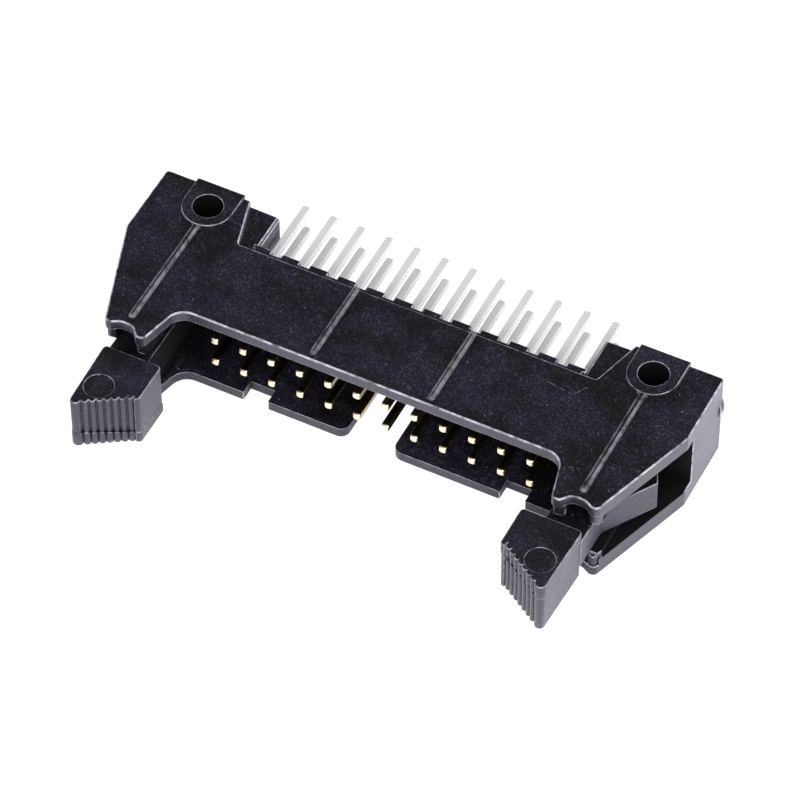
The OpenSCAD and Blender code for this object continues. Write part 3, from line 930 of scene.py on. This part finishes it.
def contact_mesh(name):
    """One square wire along Y with a blunt domed point at each end, centred on x and z."""
    bm = bmesh.new()
    dome = list(dome_rings())
    rings = [square_ring(bm, tip_y + back, side, share) for back, side, share in dome]
    rings += [square_ring(bm, tail_y - back, side, share) for back, side, share in reversed(dome)]
    flats = []
    count = len(rings[0])
    for level, (near_ring, far_ring) in enumerate(zip(rings, rings[1:])):
        for i in range(count):
            j = (i + 1) % count
            side = bm.faces.new((near_ring[i], near_ring[j], far_ring[j], far_ring[i]))
            side.smooth = True
            if level == DOME_STEPS and i % (CORNER_STEPS + 1) == CORNER_STEPS:
                flats.append(len(bm.faces) - 1)
    bm.faces.new(rings[0])
    bm.faces.new(rings[-1])
    bmesh.ops.recalc_face_normals(bm, faces=bm.faces[:])
    mesh = bpy.data.meshes.new(name)
    bm.to_mesh(mesh)
    bm.free()
    mesh.set_sharp_from_angle(angle=CONTACT_SHARP)
    for index in flats:
        mesh.polygons[index].use_smooth = False
    return mesh


contact = contact_mesh("contact")
print("one contact:", len(contact.polygons), "faces,", round((tail_y - tip_y) / MM, 2), "mm long")

# %% [markdown]
# The tree takes the contact as its geometry, makes a flat grid, stands it up across the header
# and puts a copy of the contact on each of its points.

# %% Build the grid of contacts
GEOMETRY = "NodeSocketGeometry"
INTEGER = "NodeSocketInt"
COLUMNS = 12
ROWS = 2

contact_tree, c_in, c_out = new_group(
    "contact_grid",
    "GeometryNodeTree",
    [
        ("Contact", GEOMETRY, None),
        ("Columns", INTEGER, COLUMNS),
        ("Rows", INTEGER, ROWS),
        ("Pitch", FLOAT, 2.54 * MM),
        ("Centre", VECTOR, None),
        ("Finish", "NodeSocketMaterial", None),
    ],
    [("Contacts", GEOMETRY)],
)
grid = add(contact_tree, "GeometryNodeMeshGrid")
for count, size, vertices in (("Columns", "Size X", "Vertices X"), ("Rows", "Size Y", "Vertices Y")):
    gaps = math_node(contact_tree, "SUBTRACT", c_in.outputs[count], 1.0)
    join(contact_tree, product(contact_tree, gaps, c_in.outputs["Pitch"]), grid.inputs[size])
    join(contact_tree, c_in.outputs[count], grid.inputs[vertices])
stand = add(contact_tree, "GeometryNodeTransform", {"Rotation": (math.radians(90), 0, 0)})
join(contact_tree, grid.outputs["Mesh"], stand.inputs["Geometry"])
join(contact_tree, c_in.outputs["Centre"], stand.inputs["Translation"])
copies = add(contact_tree, "GeometryNodeInstanceOnPoints")
join(contact_tree, stand.outputs[0], copies.inputs["Points"])
join(contact_tree, c_in.outputs["Contact"], copies.inputs["Instance"])
real = add(contact_tree, "GeometryNodeRealizeInstances")
join(contact_tree, copies.outputs[0], real.inputs[0])
finish = add(contact_tree, "GeometryNodeSetMaterial")
join(contact_tree, real.outputs[0], finish.inputs["Geometry"])
join(contact_tree, c_in.outputs["Finish"], finish.inputs["Material"])
join(contact_tree, finish.outputs[0], c_out.inputs["Contacts"])
print("contact tree:", len(contact_tree.nodes), "nodes")


# %% [markdown]
# A host object carries the tree as a modifier. Its evaluated mesh becomes the contacts, and the
# host goes away, because the export needs plain meshes.

# %% Set the contacts on their grid
def socket_id(group, name):
    """The identifier of a group's named input, which a modifier needs."""
    sockets = group.interface.items_tree
    return next(s.identifier for s in sockets if s.name == name and s.in_out == "INPUT")


host = bpy.data.objects.new("contact_host", contact)
scene.collection.objects.link(host)
modifier = host.modifiers.new("grid", "NODES")
modifier.node_group = contact_tree
row_centre = Vector((0.0, 0.0, (first_low.z + second_high.z) / 2))
for key, value in (
    ("Columns", COLUMNS),
    ("Rows", ROWS),
    ("Pitch", pitch),
    ("Centre", row_centre),
    ("Finish", plating),
):
    modifier[socket_id(contact_tree, key)] = value
evaluated = host.evaluated_get(bpy.context.evaluated_depsgraph_get())
solid = bpy.data.meshes.new_from_object(evaluated)
solid.name = "contacts"
host.modifiers.clear()
bpy.data.objects.remove(host)
contacts = bpy.data.objects.new("contacts", solid)
scene.collection.objects.link(contacts)
print("contacts:", len(solid.polygons), "faces")

# %% [markdown]
# ## Riding on the measured bodies
#
# Each dressed piece stands for its measured node and moves with that node's body, so that the
# levers swing and the contacts stay in the housing.

# %% Tie the pieces to the bodies
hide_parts("housing")
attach(housing, "header")
for lever, node, body in (
    (latch_left, "latch_left", "left_latch"),
    (latch_right, "latch_right", "right_latch"),
):
    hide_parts(node)
    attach(lever, body)
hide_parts(*[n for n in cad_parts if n.startswith("pin_")])
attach(contacts, "header")
print("pieces:", housing.name, latch_left.name, latch_right.name, contacts.name)

# %% [markdown]
# ## Floor
#
# The header lies on plain white. Light enough to make a grey floor white would wash out the
# object, so the floor glows at plain white for the camera and for gloss, and a dim diffuse part
# keeps a faint shadow. To gloss it is dimmer close under the part and to its left, which keeps
# what faces that way as dark as in the photograph.

# %% Lay the floor
FLOOR_Z = -0.02 * MM
FLOOR_HALF = 4.0

bm = bmesh.new()
bmesh.ops.create_grid(bm, x_segments=1, y_segments=1, size=FLOOR_HALF)
bmesh.ops.translate(bm, verts=bm.verts[:], vec=(0.0, 0.0, FLOOR_Z))
floor_mesh = bpy.data.meshes.new("floor")
bm.to_mesh(floor_mesh)
bm.free()
floor = bpy.data.objects.new("floor", floor_mesh)
scene.collection.objects.link(floor)

# %% [markdown]
# Light Path tells which rays look at the floor. The shadow close under the part comes from the
# Ambient Occlusion node, and the Backfacing test makes the floor see-through from beneath, so
# that the underside can be looked at.

# %% Paint the floor
PAINT = (0.85, 0.85, 0.85, 1)
PAINT_TO_CAMERA = (0.25, 0.25, 0.25, 1)
GLOW = (0.95, 0.93, 1, 1)
WHITE = (1, 1, 1, 1)
UNDER_REACH = 12 * MM
LEFT_FROM_X = -30 * MM
LEFT_TO_X = -17 * MM
LEFT_SHARE = 0.3

floor_material = bpy.data.materials.new("floor_white")
floor_material.use_nodes = True
tree = floor_material.node_tree
tree.nodes.clear()
out = add(tree, "ShaderNodeOutputMaterial")
rays = add(tree, "ShaderNodeLightPath").outputs
to_camera = rays["Is Camera Ray"]
seen = math_node(tree, "MAXIMUM", to_camera, rays["Is Glossy Ray"])
seen = math_node(tree, "MAXIMUM", seen, rays["Is Transmission Ray"])
lit = add(tree, "ShaderNodeBsdfDiffuse")
join(tree, blend_colour(tree, to_camera, PAINT, PAINT_TO_CAMERA), lit.inputs["Color"])
under = add(tree, "ShaderNodeAmbientOcclusion", {"Distance": UNDER_REACH}, samples=6)
under = window(tree, under.outputs["AO"], 0.0, 0.8)
leftward = split(tree, object_place(tree))["X"]
leftward = window(tree, leftward, LEFT_FROM_X, LEFT_TO_X, LEFT_SHARE, 1.0)
under = math_node(tree, "MAXIMUM", under, to_camera)
leftward = math_node(tree, "MAXIMUM", leftward, to_camera)
glow = add(tree, "ShaderNodeEmission")
join(tree, blend_colour(tree, to_camera, GLOW, WHITE), glow.inputs["Color"])
join(tree, product(tree, seen, product(tree, under, leftward)), glow.inputs["Strength"])
shown = add(tree, "ShaderNodeAddShader")
join(tree, lit.outputs[0], shown.inputs[0])
join(tree, glow.outputs[0], shown.inputs[1])
one_sided = add(tree, "ShaderNodeMixShader")
join(tree, add(tree, "ShaderNodeNewGeometry").outputs["Backfacing"], one_sided.inputs[0])
join(tree, shown.outputs[0], one_sided.inputs[1])
join(tree, add(tree, "ShaderNodeBsdfTransparent").outputs[0], one_sided.inputs[2])
join(tree, one_sided.outputs[0], out.inputs["Surface"])
floor_mesh.materials.append(floor_material)
print("floor:", len(tree.nodes), "nodes")

# %% [markdown]
# ## Room
#
# The room is white at the horizon and dark overhead, which is why level faces look black. It is
# darker on the left as well. A picture of a studio could light the object too, but two ramps on
# the direction say all that shows. The camera itself sees plain white.

# %% Build the room
OVERHEAD = 0.18
LEFT_WALL = 0.35

world = bpy.data.worlds.new("studio")
scene.world = world
world.use_nodes = True
tree = world.node_tree
direction = split(tree, add(tree, "ShaderNodeTexCoord").outputs["Generated"])
ceiling = window(tree, direction["Z"], 0.2, 0.62, 1.0, OVERHEAD)
flank = window(tree, direction["X"], -0.85, 0.15, LEFT_WALL, 1.0)
to_camera = add(tree, "ShaderNodeLightPath").outputs["Is Camera Ray"]
room = math_node(tree, "MAXIMUM", product(tree, ceiling, flank), to_camera)
join(tree, room, tree.nodes["Background"].inputs["Color"])
print("room:", len(tree.nodes), "nodes")


# %% [markdown]
# ## Lamps
#
# Two soft boxes light the front and the right-hand side. A small one behind gives the backs an
# edge of light, a wide weak one stands where the domed tips of the contacts mirror it, and one
# overhead lights level faces from outside their mirror direction.

# %% Hang the lamps
def soft_lamp(name, place, size, power):
    """A rectangular soft box that looks at the header. Its size is (width, height) in metres."""
    data = bpy.data.lights.new(name, "AREA")
    data.shape = "RECTANGLE"
    data.size, data.size_y = size
    data.energy = power
    lamp = bpy.data.objects.new(name, data)
    lamp.location = place
    lamp.rotation_euler = (-Vector(place)).to_track_quat("-Z", "Y").to_euler()
    scene.collection.objects.link(lamp)


soft_lamp("right_box", (0.52, 0.10, 0.34), (0.36, 0.26), 0.4)
soft_lamp("rim_box", (0.31, 0.37, 0.38), (0.20, 0.20), 0.45)
soft_lamp("front_box", (0.33, -0.58, 0.43), (0.36, 0.26), 2.3)
soft_lamp("tip_box", (-0.22, -0.57, 0.43), (0.50, 0.40), 1.2)
soft_lamp("top_box", (0.25, -0.20, 0.70), (0.40, 0.40), 2.2)
